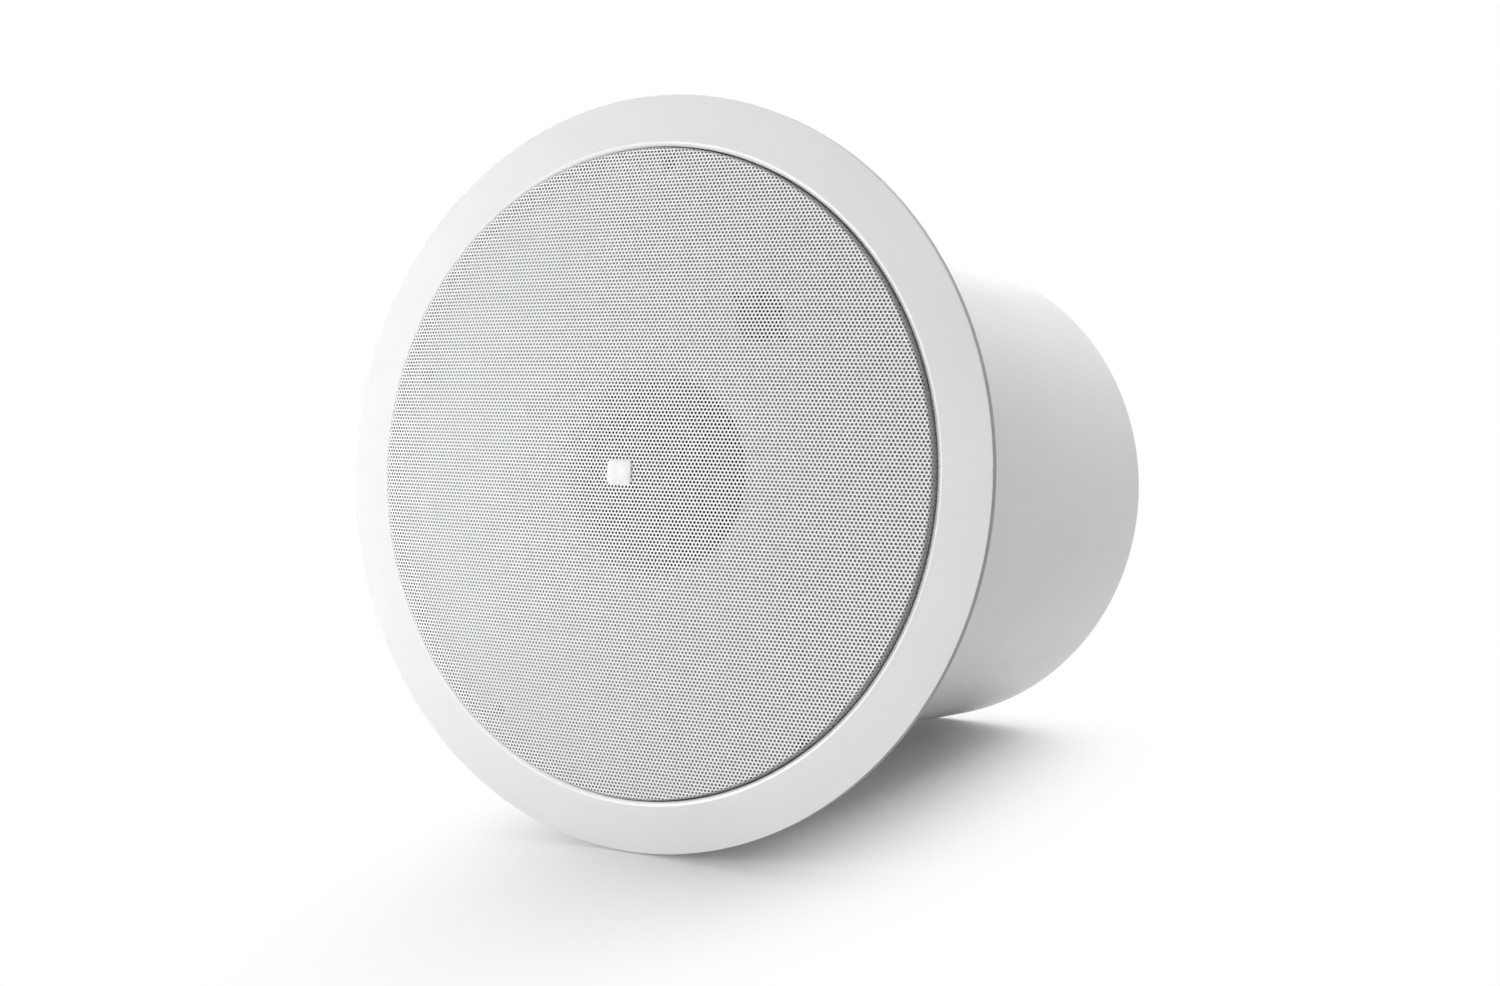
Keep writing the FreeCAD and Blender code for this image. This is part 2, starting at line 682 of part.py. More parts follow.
# The line transformer hangs from the can's end in a bent strap: a stack of plates round a wound bobbin.
CORE_TOP = CAN_CEILING + " - fit"
CORE_FOOT = CORE_TOP + " - core_height"
TRANSFORMER_PLACE = "can_radius - transformer_inset"
core = node(new_body("transformer_core", TRANSFORMER_ANGLE, TRANSFORMER_PLACE))
plates = sketch_on(core, "YZ_Plane", "- core_stack/2")
rectangle(plates, "- core_width/2", "core_width/2", CORE_FOOT, CORE_TOP)
WINDOW = ("core_leg", "core_leg + core_leg")
WINDOW_HEIGHT = (CORE_FOOT + " + core_leg", CORE_TOP + " - core_leg")
rectangle(plates, *WINDOW, *WINDOW_HEIGHT)
rectangle(plates, minus(WINDOW[1]), minus(WINDOW[0]), *WINDOW_HEIGHT)
pad(core, plates, "core_stack")
coil = node(new_body("transformer_coil", TRANSFORMER_ANGLE, TRANSFORMER_PLACE))
winding = sketch_on(coil, "XY_Plane", CORE_FOOT + " + core_leg + fit")
centred(winding, "core_stack/2 + winding_bulge", "core_leg + core_leg - fit")
centred(winding, "core_stack/2 + fit", "core_leg + fit")
pad(coil, winding, "core_height - core_leg - core_leg - fit - fit")
strap = node(new_body("transformer_strap", TRANSFORMER_ANGLE, TRANSFORMER_PLACE))
bent = sketch_on(strap, "YZ_Plane", "- strap_width/2")
SIDE = "core_width/2 + fit"
OUTSIDE = SIDE + " + strap_sheet"
FOOT_END = OUTSIDE + " + strap_foot"
FOOT_FACE = CAN_CEILING + " - strap_sheet"
outline(bent, [
    (FOOT_END, CAN_CEILING),
    (SIDE, CAN_CEILING),
    (SIDE, CORE_FOOT),
    (minus(SIDE), CORE_FOOT),
    (minus(SIDE), CAN_CEILING),
    (minus(FOOT_END), CAN_CEILING),
    (minus(FOOT_END), FOOT_FACE),
    (minus(OUTSIDE), FOOT_FACE),
    (minus(OUTSIDE), CORE_FOOT + " - strap_sheet"),
    (OUTSIDE, CORE_FOOT + " - strap_sheet"),
    (OUTSIDE, FOOT_FACE),
    (FOOT_END, FOOT_FACE),
])
pad(strap, bent, "strap_width")

# The wiring comes in at the can's end: a terminal block under a screwed cover with a bush for the cable.
terminal = node(new_body("terminal_block", TERMINAL_ANGLE, TERMINAL_PLACE))
block = sketch_on(terminal, "XY_Plane", "can_top - terminal_inside")
centred(block, "terminal_width/2", "terminal_length/2")
pad(terminal, block, "terminal_inside + terminal_outside")
rest = sketch_on(terminal, "XY_Plane", "can_top")
centred(rest, "terminal_width/2 + terminal_flange", "terminal_length/2 + terminal_flange")
pad(terminal, rest, "terminal_sheet")
WELLS = ("terminal_pitch/2", "terminal_pitch + terminal_pitch/2")
drilled(terminal, "can_top + terminal_outside - terminal_well_depth", "terminal_well_depth",
        [("0", side, "terminal_well") for well in WELLS for side in (well, minus(well))])
cover = node(new_body("terminal_cover", TERMINAL_ANGLE, TERMINAL_PLACE))
shell = sketch_on(cover, "XY_Plane", "can_top")
centred(shell, "cover_width/2", "cover_length/2")
pad(cover, shell, "cover_height")
feet = sketch_on(cover, "XY_Plane", "can_top")
centred(feet, "cover_foot", "cover_length/2 + cover_foot")
pad(cover, feet, "cover_sheet")
inside = sketch_on(cover, "XY_Plane", "can_top")
centred(inside, "cover_width/2 - cover_sheet", "cover_length/2 - cover_sheet")
pocket(cover, inside, "cover_height - cover_sheet")
COLLAR = "bush_radius + bush_collar_step"
BUSH_LEVEL = "can_top + fit + " + COLLAR
cross_cylinder(cover, "Subtractive", "bush_radius + fit/2", "cover_sheet + fit",
               "cover_width/2 - cover_sheet", BUSH_LEVEL)
bush = node(new_body("cable_bush", TERMINAL_ANGLE, TERMINAL_PLACE))
BUSH_START = "cover_width/2 - cover_sheet - bush_collar"
BUSH_LENGTH = "bush_collar + cover_sheet + bush_collar"
cross_cylinder(bush, "Additive", "bush_radius", BUSH_LENGTH, BUSH_START, BUSH_LEVEL)
cross_cylinder(bush, "Additive", COLLAR, "bush_collar", "cover_width/2", BUSH_LEVEL)
cross_cylinder(bush, "Subtractive", "bush_bore", BUSH_LENGTH, BUSH_START, BUSH_LEVEL)

# A bent tab welded to the can's end takes the safety tie.
tie = node(new_body("tie_bracket", TIE_ANGLE, "can_radius - tie_inset"))
tab = sketch_on(tie, "XZ_Plane", "- tie_width/2")
outline(tab, [
    ("0", "can_top"),
    ("tie_width", "can_top"),
    ("tie_width", "can_top + tie_sheet"),
    ("tie_sheet", "can_top + tie_sheet"),
    ("tie_sheet", "can_top + tie_height"),
    ("0", "can_top + tie_height"),
])
pad(tie, tab, "tie_width")
cross_cylinder(tie, "Subtractive", "tie_hole", "tie_sheet", "0", "can_top + tie_height - tie_width/2")

doc.recompute()
for thing in doc.Objects:
    if "Invalid" in thing.State or "Error" in thing.State:
        raise RuntimeError(f"{thing.Label} did not build: {thing.State}")
os.makedirs("parts", exist_ok=True)
for thing in nodes:
    if thing.Shape.isNull() or not thing.Shape.isValid():
        raise RuntimeError(f"{thing.Label} has no sound shape")
    thing.Shape.exportStep(f"parts/{thing.Label}.step")
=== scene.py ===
"""Looks of a round in-ceiling subwoofer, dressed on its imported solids, in metres."""
import math

import bmesh
import bpy
import numpy as np
from mathutils import Euler, Matrix, Vector


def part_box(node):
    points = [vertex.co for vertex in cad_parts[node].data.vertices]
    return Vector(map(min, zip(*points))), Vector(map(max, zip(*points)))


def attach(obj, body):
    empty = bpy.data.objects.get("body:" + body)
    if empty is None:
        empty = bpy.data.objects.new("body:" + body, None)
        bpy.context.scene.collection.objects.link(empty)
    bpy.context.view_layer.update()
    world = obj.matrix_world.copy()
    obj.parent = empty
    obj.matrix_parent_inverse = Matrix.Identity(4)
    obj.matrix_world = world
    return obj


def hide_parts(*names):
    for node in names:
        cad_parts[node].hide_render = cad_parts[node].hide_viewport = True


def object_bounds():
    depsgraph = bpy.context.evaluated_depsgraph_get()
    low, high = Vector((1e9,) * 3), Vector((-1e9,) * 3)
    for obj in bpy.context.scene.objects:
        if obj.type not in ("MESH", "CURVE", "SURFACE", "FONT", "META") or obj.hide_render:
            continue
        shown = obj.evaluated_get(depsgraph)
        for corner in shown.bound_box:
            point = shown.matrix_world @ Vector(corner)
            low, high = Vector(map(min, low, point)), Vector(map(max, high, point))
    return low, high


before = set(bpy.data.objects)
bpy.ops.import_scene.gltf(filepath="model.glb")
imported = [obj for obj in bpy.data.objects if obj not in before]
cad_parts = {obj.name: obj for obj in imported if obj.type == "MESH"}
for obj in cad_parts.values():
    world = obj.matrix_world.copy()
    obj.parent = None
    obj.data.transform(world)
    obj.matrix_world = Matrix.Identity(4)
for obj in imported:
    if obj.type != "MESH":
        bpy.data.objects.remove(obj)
solid_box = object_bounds()


# The baffle and its bezel are one plastic moulding, with the fine even grain of a spark-eroded mould. Its mid
# grey is painted shade, for what shows through the grille and on the rim's side. It carries all the other
# pieces, and its port's mouth shows grey through the grille.

MM = 0.001
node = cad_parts


def finish(name, colour, roughness, metallic=0.0):
    """A material of one shader, with its plain numbers set on the shader itself."""
    material = bpy.data.materials.new(name)
    material.use_nodes = True
    surface = material.node_tree.nodes["Principled BSDF"].inputs
    surface["Base Color"].default_value = (*colour, 1)
    surface["Roughness"].default_value = roughness
    surface["Metallic"].default_value = metallic
    return material


def pattern(material, kind, scale, stretch=(1, 1, 1), **numbers):
    """A texture on the piece's own coordinates, in turns per metre, squeezed along its axes by stretch."""
    tree = material.node_tree
    place = tree.nodes.new("ShaderNodeTexCoord")
    turn = tree.nodes.new("ShaderNodeMapping")
    turn.inputs["Scale"].default_value = stretch
    texture = tree.nodes.new("ShaderNodeTex" + kind)
    texture.inputs["Scale"].default_value = scale
    for name, number in numbers.items():
        texture.inputs[name].default_value = number
    tree.links.new(place.outputs["Object"], turn.inputs["Vector"])
    tree.links.new(turn.outputs["Vector"], texture.inputs["Vector"])
    return texture.outputs["Distance" if kind == "Voronoi" else "Fac"]


def blotch(material, source, dark, light, low=0.35, high=0.65):
    """Colour that runs from dark to light as the texture goes from low to high."""
    tree = material.node_tree
    ramp = tree.nodes.new("ShaderNodeValToRGB")
    for stop, place, colour in zip(ramp.color_ramp.elements, (low, high), (dark, light)):
        stop.position = place
        stop.color = (*colour, 1)
    tree.links.new(source, ramp.inputs["Fac"])
    tree.links.new(ramp.outputs["Color"], tree.nodes["Principled BSDF"].inputs["Base Color"])


def polish(material, source, smooth, rough, low=0.3, high=0.7):
    """Roughness that runs from smooth to rough as the texture goes from low to high."""
    tree = material.node_tree
    span = tree.nodes.new("ShaderNodeMapRange")
    for name, number in (("From Min", low), ("From Max", high), ("To Min", smooth), ("To Max", rough)):
        span.inputs[name].default_value = number
    tree.links.new(source, span.inputs["Value"])
    tree.links.new(span.outputs["Result"], tree.nodes["Principled BSDF"].inputs["Roughness"])


def relief(material, source, depth, strength=1.0):
    """Bumps as deep as depth. A second relief rides on the first."""
    tree = material.node_tree
    bump = tree.nodes.new("ShaderNodeBump")
    bump.inputs["Distance"].default_value = depth
    bump.inputs["Strength"].default_value = strength
    tree.links.new(source, bump.inputs["Height"])
    normal = tree.nodes["Principled BSDF"].inputs["Normal"]
    if normal.is_linked:
        tree.links.new(normal.links[0].from_socket, bump.inputs["Normal"])
    tree.links.new(bump.outputs["Normal"], normal)


def dress(material, *names):
    """Give CAD nodes this one material."""
    for name in names:
        node[name].data.materials.clear()
        node[name].data.materials.append(material)


# painted shade: the moulding's mid grey darkens what is seen through the grille and the bezel's rim side
GREY = (0.30, 0.305, 0.31)
moulding = finish("moulding", GREY, 0.6)
blotch(moulding, pattern(moulding, "Noise", 14, Detail=3.0), (0.29, 0.295, 0.30), (0.31, 0.315, 0.32))
polish(moulding, pattern(moulding, "Noise", 60, Detail=4.0), 0.56, 0.66)
relief(moulding, pattern(moulding, "Noise", 2600, Detail=2.0), 0.02 * MM, 0.5)
dress(moulding, "baffle")


# The bezel's front is sprayed white. The paint is a thick film that runs from the cup's wall over the lip to
# the rim, and softens both edges.

def rounded(points, radii, pieces=8):
    """A line through points with its inner corners rounded. A corner becomes an arc that touches both its
    sides, as far from it as the radius times the tangent of half the turn."""
    points = np.asarray(points, float)
    line = [points[:1]]
    for before, corner, after, radius in zip(points, points[1:], points[2:], radii):
        into, out = (way / np.linalg.norm(way) for way in (corner - before, after - corner))
        half = math.acos(np.clip(into @ out, -1, 1)) / 2
        inward, forward = ((out + sign * into) / np.linalg.norm(out + sign * into) for sign in (-1, 1))
        turn = np.linspace(-half, half, pieces + 1)[:, None]
        arc = inward / math.cos(half) - inward * np.cos(turn) + forward * np.sin(turn)
        line.append(corner + radius * arc)
    return np.concatenate([*line, points[-1:]])


def turned(line, steps):
    """Rings of points: each point of a half section, as radius and height, carried round the Z axis."""
    angle = 2 * math.pi * np.arange(steps) / steps
    radius, height = line.T[:, :, None]
    return np.stack(np.broadcast_arrays(radius * np.cos(angle), radius * np.sin(angle), height), -1)


MERGE = 0.001 * MM
SHARP = math.radians(40)


def skin(name, rings, material, closed=False):
    """A mesh over rings of points, (rings, steps, 3), or over several such sets. Each ring is joined to the
    next and runs into itself. A ring at one place becomes a pole, and closed joins the last ring to the
    first."""
    rings = rings.reshape(-1, *rings.shape[-3:])
    number = np.arange(rings[..., 0].size).reshape(rings.shape[:-1])
    rows = np.concatenate([number, number[:, :1]], 1) if closed else number
    beside = np.roll(rows, -1, 2)
    faces = np.stack([rows[:, :-1], beside[:, :-1], beside[:, 1:], rows[:, 1:]], -1).reshape(-1, 4)
    mesh = bpy.data.meshes.new(name)
    mesh.from_pydata(rings.reshape(-1, 3), [], faces.tolist())
    shape = bmesh.new()
    shape.from_mesh(mesh)
    bmesh.ops.remove_doubles(shape, verts=shape.verts, dist=MERGE)
    bmesh.ops.recalc_face_normals(shape, faces=shape.faces)
    shape.to_mesh(mesh)
    shape.free()
    mesh.shade_smooth()
    mesh.set_sharp_from_angle(angle=SHARP)
    mesh.materials.append(material)
    piece = bpy.data.objects.new(name, mesh)
    bpy.context.collection.objects.link(piece)
    return piece


def seat(piece, body, slot, *nodes):
    """Fix a piece to the body that carries it, in place of the nodes it stands for. The slot is not used."""
    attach(piece, body)
    if nodes:
        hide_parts(*nodes)


def face_middles(piece):
    """The middles of a piece's faces, (faces, 3)."""
    middles = np.empty(3 * len(piece.data.polygons))
    piece.data.polygons.foreach_get("center", middles)
    return middles.reshape(-1, 3)


def repaint(piece, material, chosen):
    """Give a piece a second material, on its chosen faces only."""
    piece.data.materials.append(material)
    piece.data.polygons.foreach_set("material_index", chosen.astype(np.int32))


WHITE = (0.75, 0.75, 0.745)
LIP_RADIUS = 166.9 * MM
LIP_BEVEL = (2.0 * MM, 1.0 * MM)
RIM_HEIGHT = 3.6 * MM
FILM = 0.22 * MM
FILM_DEPTH = 2.5 * MM
FILM_ROUNDS = (0.5 * MM, 4.5 * MM, 0.3 * MM)
BEZEL_STEPS = 256
baffle_low, baffle_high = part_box("baffle")
film_rim = baffle_high.x - FILM / 3
film_line = rounded([
    (LIP_RADIUS - FILM, baffle_low.z + FILM_DEPTH),
    (LIP_RADIUS - FILM, baffle_low.z + LIP_BEVEL[1] - FILM),
    (LIP_RADIUS + LIP_BEVEL[0] - FILM, baffle_low.z - FILM),
    (film_rim, -RIM_HEIGHT - FILM),
    (film_rim, -RIM_HEIGHT + FILM),
], FILM_ROUNDS)
film_back = np.array([
    (baffle_high.x - 4 * FILM, -RIM_HEIGHT + FILM),
    (LIP_RADIUS + LIP_BEVEL[0], baffle_low.z + 2 * FILM),
    (LIP_RADIUS + 2 * FILM, baffle_low.z + LIP_BEVEL[1] + FILM),
    (LIP_RADIUS + 2 * FILM, baffle_low.z + FILM_DEPTH),
])
white_paint = finish("white_paint", WHITE, 0.55)
blotch(white_paint, pattern(white_paint, "Noise", 14, Detail=3.0), (0.74, 0.74, 0.735), (0.76, 0.76, 0.755))
polish(white_paint, pattern(white_paint, "Noise", 60, Detail=4.0), 0.5, 0.6)
relief(white_paint, pattern(white_paint, "Noise", 2600, Detail=2.0), 0.02 * MM, 0.5)
film = turned(np.concatenate([film_line, film_back]), BEZEL_STEPS)
bezel_paint = skin("bezel_paint", film, white_paint, closed=True)
seat(bezel_paint, "housing", "white_plastic")

# the lip is painted a lighter white than the rest of the bezel, a painted highlight, and is glossier there
lip_painted_highlight = finish("lip_painted_highlight", (0.88, 0.88, 0.875), 0.26)
polish(lip_painted_highlight, pattern(lip_painted_highlight, "Noise", 60, Detail=4.0), 0.22, 0.3)
relief(lip_painted_highlight, pattern(lip_painted_highlight, "Noise", 900, Detail=2.0), 0.01 * MM, 0.4)
face_radius = np.hypot(*face_middles(bezel_paint).T[:2])
repaint(bezel_paint, lip_painted_highlight, face_radius < LIP_RADIUS + LIP_BEVEL[0] + FILM)


# The port's tube is moulded in the baffle's grey, glued into its socket and flared at its inner end.
# Deeper inside it fades to near black, a painted shade for the deep throat. The switch and the terminal block
# are black mouldings, screwed in place.

def away(material, kept, near, far):
    """How far a point lies from the origin along the kept axes, 0 at the near distance and 1 at the far."""
    tree = material.node_tree
    place = tree.nodes.new("ShaderNodeTexCoord")
    level = tree.nodes.new("ShaderNodeMapping")
    level.inputs["Scale"].default_value = kept
    length = tree.nodes.new("ShaderNodeVectorMath")
    length.operation = "LENGTH"
    span = tree.nodes.new("ShaderNodeMapRange")
    span.inputs["From Min"].default_value = near
    span.inputs["From Max"].default_value = far
    tree.links.new(place.outputs["Object"], level.inputs["Vector"])
    tree.links.new(level.outputs["Vector"], length.inputs[0])
    tree.links.new(length.outputs["Value"], span.inputs["Value"])
    return span.outputs["Result"]


# painted shade: the tube's grey fades to this near black between these depths
THROAT_SHADE = (0.008, 0.008, 0.008)
THROAT_SHADE_FADE = (70 * MM, 130 * MM)
tube_with_painted_shade = finish("tube_with_painted_shade", GREY, 0.7)
blotch(tube_with_painted_shade, away(tube_with_painted_shade, (0, 0, 1), *THROAT_SHADE_FADE), GREY, THROAT_SHADE, 0, 1)
polish(tube_with_painted_shade, pattern(tube_with_painted_shade, "Noise", 60, Detail=4.0), 0.66, 0.76)
relief(tube_with_painted_shade, pattern(tube_with_painted_shade, "Noise", 1200, (1, 1, 0.05)), 0.02 * MM, 0.5)
dress(tube_with_painted_shade, "port_tube")
black_moulding = finish("black_moulding", (0.028, 0.028, 0.03), 0.5)
polish(black_moulding, pattern(black_moulding, "Noise", 90, Detail=4.0), 0.42, 0.58)
relief(black_moulding, pattern(black_moulding, "Noise", 1800, Detail=2.0), 0.03 * MM, 0.6)
dress(black_moulding, "tap_switch", "terminal_block")


# A round of pressed fibre board parts the can into two chambers. It is cut to fit the can's wall, and the
# driver is screwed to it.

fibre_board = finish("fibre_board", (0.42, 0.3, 0.18), 0.85)
chips = pattern(fibre_board, "Noise", 700, (1, 1, 0.4), Detail=6.0, Roughness=0.7)
blotch(fibre_board, chips, (0.30, 0.21, 0.12), (0.50, 0.37, 0.23))
relief(fibre_board, chips, 0.15 * MM)
dress(fibre_board, "partition")


# The driver: a pressed steel basket in black enamel, a paper cone, a foam ring at its edge, a cloth spider, a
# copper coil, and a ferrite magnet between two turned steel plates.

black_enamel = finish("black_enamel", (0.02, 0.02, 0.021), 0.35)
polish(black_enamel, pattern(black_enamel, "Noise", 120, Detail=4.0), 0.28, 0.46)
relief(black_enamel, pattern(black_enamel, "Noise", 900), 0.03 * MM, 0.5)
dress(black_enamel, "driver_basket")

cone_paper = finish("cone_paper", (0.05, 0.05, 0.055), 0.8)
fibres = pattern(cone_paper, "Noise", 1500, Detail=8.0, Roughness=0.75)
blotch(cone_paper, fibres, (0.03, 0.03, 0.033), (0.07, 0.07, 0.075))
relief(cone_paper, fibres, 0.1 * MM)
dress(cone_paper, "cone")

foam = finish("foam", (0.022, 0.022, 0.022), 0.9)
cells = pattern(foam, "Voronoi", 1400)
polish(foam, cells, 0.8, 0.98)
relief(foam, cells, 0.1 * MM)
dress(foam, "surround")

spider_cloth = finish("spider_cloth", (0.55, 0.38, 0.16), 0.9)
weave = pattern(spider_cloth, "Voronoi", 1100)
blotch(spider_cloth, weave, (0.42, 0.28, 0.11), (0.62, 0.45, 0.2), 0.2, 0.7)
relief(spider_cloth, weave, 0.2 * MM)
dress(spider_cloth, "spider")

enamelled_copper = finish("enamelled_copper", (0.62, 0.27, 0.12), 0.3, 0.9)
turns = pattern(enamelled_copper, "Noise", 1600, (0.02, 0.02, 1))
polish(enamelled_copper, turns, 0.2, 0.45)
relief(enamelled_copper, turns, 0.2 * MM)
dress(enamelled_copper, "voice_coil", "transformer_coil")

ferrite = finish("ferrite", (0.06, 0.06, 0.064), 0.75)
pores = pattern(ferrite, "Noise", 400, Detail=6.0)
blotch(ferrite, pores, (0.045, 0.045, 0.048), (0.08, 0.08, 0.085))
relief(ferrite, pores, 0.08 * MM)
dress(ferrite, "magnet")

turned_steel = finish("turned_steel", (0.5, 0.5, 0.51), 0.32, 1.0)
tool_marks = pattern(turned_steel, "Noise", 900, (0.05, 0.05, 1))
polish(turned_steel, tool_marks, 0.24, 0.42)
relief(turned_steel, tool_marks, 0.02 * MM)
dress(turned_steel, "top_plate", "yoke")


# The can is drawn from sheet steel in one piece, with a round edge at its end, and painted a satin light
# grey. It slides over the baffle's spigot and is held there by five screws through its wall.

CAN_GREY = (0.62, 0.625, 0.63)
can_paint = finish("can_paint", CAN_GREY, 0.4)
blotch(can_paint, pattern(can_paint, "Noise", 9, Detail=3.0), (0.605, 0.61, 0.615), (0.635, 0.64, 0.645))
polish(can_paint, pattern(can_paint, "Noise", 35, Detail=4.0), 0.30, 0.40)
relief(can_paint, pattern(can_paint, "Noise", 700, Detail=3.0), 0.02 * MM, 0.5)
CAN_WALL = 1.2 * MM
CAN_ROUND = 5.1 * MM
ROUND_STEPS = 192
can_low, can_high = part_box("back_can")
can_outside = rounded([(can_high.x, can_low.z), (can_high.x, can_high.z), (0, can_high.z)], [CAN_ROUND])
can_inside = rounded([
    (0, can_high.z - CAN_WALL),
    (can_high.x - CAN_WALL, can_high.z - CAN_WALL),
    (can_high.x - CAN_WALL, can_low.z),
], [CAN_ROUND - CAN_WALL])
can_walls = turned(np.concatenate([can_outside, can_inside]), ROUND_STEPS)
can_shell = skin("can_shell", can_walls, can_paint, closed=True)
seat(can_shell, "housing", "can_paint", "back_can")


def cross_head(radius, height, steps=40, rings=18):
    """A pan head on the Z axis with a cross sunk into it. Its rings run from the crown's middle to its foot
    at height 0. The crown's height goes as the root of one less the fourth power of the share of the radius,
    and a point that lies in one of the cross's two arms goes down by the recess."""
    arm, reach, slope, recess = 0.15 * radius, 0.58 * radius, 0.08 * radius, 0.55 * height
    angle = 2 * math.pi * np.arange(steps) / steps
    out = radius * np.sin(np.linspace(0, math.pi / 2, rings))[:, None]
    across, up = np.abs(out * np.cos(angle)), np.abs(out * np.sin(angle))
    inside = np.maximum(np.minimum(arm - across, reach - up), np.minimum(arm - up, reach - across))
    crown = height * np.sqrt(1 - (out / radius) ** 4) - recess * np.clip(inside / slope, 0, 1)
    return np.stack(np.broadcast_arrays(out * np.cos(angle), out * np.sin(angle), crown), -1)


def placed(rings, middle, out):
    """Rings moved from the origin to a middle, with their Z axis turned to point out."""
    turn = np.array(Vector(out).to_track_quat("Z", "Y").to_matrix())
    return rings @ turn.T + np.array(middle)


def pan_screws(name, radius, height, places, material):
    """Like pan heads at places, as (middle, outward direction), each closed by its flat foot."""
    head = cross_head(radius, height)
    foot = np.zeros_like(head[:1])
    screw = np.concatenate([head, foot])
    return skin(name, np.stack([placed(screw, *place) for place in places]), material)


zinc = finish("zinc", (0.56, 0.57, 0.58), 0.36, 1.0)
spangle = pattern(zinc, "Voronoi", 160)
blotch(zinc, spangle, (0.50, 0.51, 0.525), (0.62, 0.63, 0.64), 0.1, 0.9)
polish(zinc, pattern(zinc, "Noise", 220, Detail=4.0), 0.28, 0.46)
relief(zinc, pattern(zinc, "Noise", 1200), 0.01 * MM, 0.5)
CAN_SCREW_HEAD = (3.4 * MM, 2.0 * MM)
CAN_SCREW_LEVEL = 24 * MM
CAN_SCREW_BEARINGS = np.radians(54 + 72 * np.arange(5))
can_screw_ways = [(math.cos(bearing), math.sin(bearing), 0) for bearing in CAN_SCREW_BEARINGS]
can_screw_places = [
    (Vector(way) * can_high.x + Vector((0, 0, CAN_SCREW_LEVEL)), way) for way in can_screw_ways
]
can_screws = pan_screws("can_screws", *CAN_SCREW_HEAD, can_screw_places, zinc)
seat(can_screws, "housing", "zinc_steel")


# The line transformer: varnished plates round a wound bobbin, held to the can's end by a bent zinc strap. The
# terminal's cover and the tie tab are bent from the same zinc plated sheet.

core_plates = finish("core_plates", (0.2, 0.2, 0.21), 0.45, 0.8)
layers = pattern(core_plates, "Noise", 2000, (0.01, 1, 0.01))
blotch(core_plates, layers, (0.12, 0.12, 0.125), (0.3, 0.3, 0.31))
relief(core_plates, layers, 0.1 * MM)
dress(core_plates, "transformer_core")

dress(zinc, "transformer_strap", "terminal_cover", "tie_bracket")


def soften(width, *names):
    """Round the sharp edges of CAD nodes, after their loose triangles are joined."""
    for name in names:
        joined = node[name].modifiers.new("joined", "WELD")
        joined.merge_threshold = MERGE
        edges = node[name].modifiers.new("edges", "BEVEL")
        edges.width = width
        edges.segments = 2
        edges.limit_method = "ANGLE"
        edges.angle_limit = SHARP


SHEET_EDGE = 0.4 * MM
soften(SHEET_EDGE, "transformer_strap", "terminal_cover", "tie_bracket")
cover_low, cover_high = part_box("terminal_cover")
COVER_FOOT = 5.0 * MM
COVER_SHEET = 1.2 * MM
COVER_SCREW_HEAD = (3.2 * MM, 1.9 * MM)
cover_screw_places = [
    ((across, (cover_low.y + cover_high.y) / 2, cover_low.z + COVER_SHEET), (0, 0, 1))
    for across in (cover_low.x + COVER_FOOT, cover_high.x - COVER_FOOT)
]
cover_screws = pan_screws("cover_screws", *COVER_SCREW_HEAD, cover_screw_places, zinc)
seat(cover_screws, "housing", "zinc_steel")


# The cable comes in through a soft black bush. It is moulded in rubber and pressed into the hole in the
# cover's wall.

bush_rubber = finish("bush_rubber", (0.022, 0.022, 0.023), 0.65)
polish(bush_rubber, pattern(bush_rubber, "Noise", 300, Detail=4.0), 0.55, 0.75)
relief(bush_rubber, pattern(bush_rubber, "Noise", 1500), 0.03 * MM)
dress(bush_rubber, "cable_bush")


# Each of the five clamps is a zinc plated screw that swings a moulded arm out over the ceiling board. The
# screw's rolled thread runs from below its head, which is blacked, to its chamfered end.

CLAMPS = range(1, 6)
THREAD_PITCH = 1.6 * MM
THREAD_DEPTH = 0.45 * MM
THREAD_NECK = 4.0 * MM
RINGS_PER_PITCH = 8
SCREW_RADIUS = 2.5 * MM
SCREW_POINT = 1.5 * MM
POINT_SLOPE = 0.6
HEAD_RADIUS = 4.2 * MM
HEAD_HEIGHT = 3.0 * MM
ARM_EDGE = 0.6 * MM


def clamp_screw(length):
    """A pan head and its threaded shank, which goes down from height 0. The shank's radius falls and rises as
    a cosine of the height in pitches less the angle in turns. The dips fade in below a plain neck, and the
    end narrows to a chamfer."""
    head = cross_head(HEAD_RADIUS, HEAD_HEIGHT)
    angle = 2 * math.pi * np.arange(head.shape[1]) / head.shape[1]
    down = np.linspace(0, length, round(RINGS_PER_PITCH * length / THREAD_PITCH))[:, None]
    below_neck = np.clip((down - THREAD_NECK) / THREAD_PITCH, 0, 1)
    dip = (1 - np.cos(2 * math.pi * down / THREAD_PITCH - angle)) / 2 * below_neck
    chamfer = np.clip(down - length + SCREW_POINT, 0, None) * POINT_SLOPE
    radius = SCREW_RADIUS - THREAD_DEPTH * dip - chamfer
    shank = np.stack(np.broadcast_arrays(radius * np.cos(angle), radius * np.sin(angle), -down), -1)
    end = np.zeros_like(head[:1]) - (0, 0, length)
    return np.concatenate([head, shank, end])


for count in CLAMPS:
    name = f"clamp_screw_{count}"
    screw_low, screw_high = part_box(name)
    middle = (screw_low + screw_high) / 2
    middle.z = screw_low.z + HEAD_HEIGHT
    rings = placed(clamp_screw(screw_high.z - middle.z), middle, (0, 0, -1))
    screw = skin(f"threaded_screw_{count}", rings, zinc)
    repaint(screw, black_enamel, face_middles(screw)[:, 2] < middle.z)
    seat(screw, name, "zinc_steel", name)
    dress(black_moulding, f"clamp_arm_{count}")
    soften(ARM_EDGE, f"clamp_arm_{count}")


# The power tap knob is a black moulded disc with a fluted edge and a raised pointer, pressed on the switch's
# stem. Two black screws beside it hold the switch.

